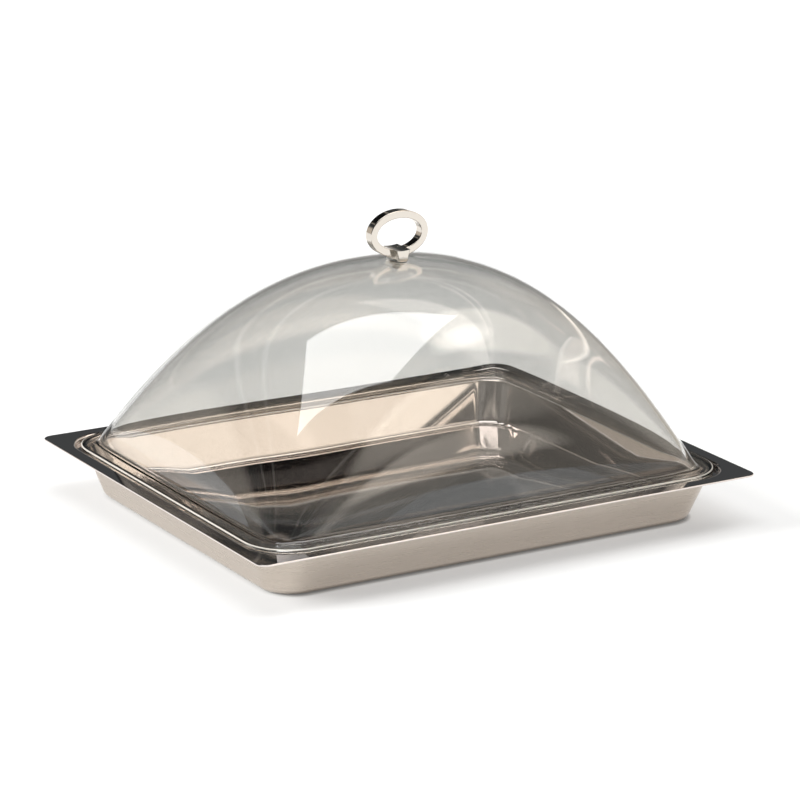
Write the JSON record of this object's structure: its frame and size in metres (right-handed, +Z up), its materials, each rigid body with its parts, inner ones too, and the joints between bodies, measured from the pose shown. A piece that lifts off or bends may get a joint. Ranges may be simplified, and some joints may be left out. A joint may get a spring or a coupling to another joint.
{
  "type": "covered display tray",
  "caption": "Shallow rectangular steel serving tray with a flat flange, under a clear cushion-shaped dome cover that lifts off by an upright oval ring handle.",
  "frame": {"origin": "middle of the tray's flat underside", "axes": "+Z up, +X along the long side, which is also the plane of the ring handle"},
  "size_m": [0.325, 0.265, 0.1764],
  "materials": {
    "tray_steel": "stainless sheet, satin outside, mirror polished inside and on the flange",
    "clear_plastic": "clear, glossy, moulded",
    "bright_chrome": "mirror bright plating",
    "clear_silicone": "translucent, moulded",
    "fixing_steel": "turned and stamped stainless"
  },
  "bodies": {
    "base": {"tray": "tray_steel"},
    "lid": {"cover": "clear_plastic", "handle_ring": "bright_chrome", "handle_post": "bright_chrome", "post_gasket": "clear_silicone", "backing_washer": "fixing_steel", "spring_washer": "fixing_steel", "handle_screw": "fixing_steel"}
  },
  "joints": [
    {"name": "cover_lift", "type": "slide", "parent": "base", "child": "lid", "axis": [0, 0, 1], "range_m": [0, 0.2]}
  ]
}
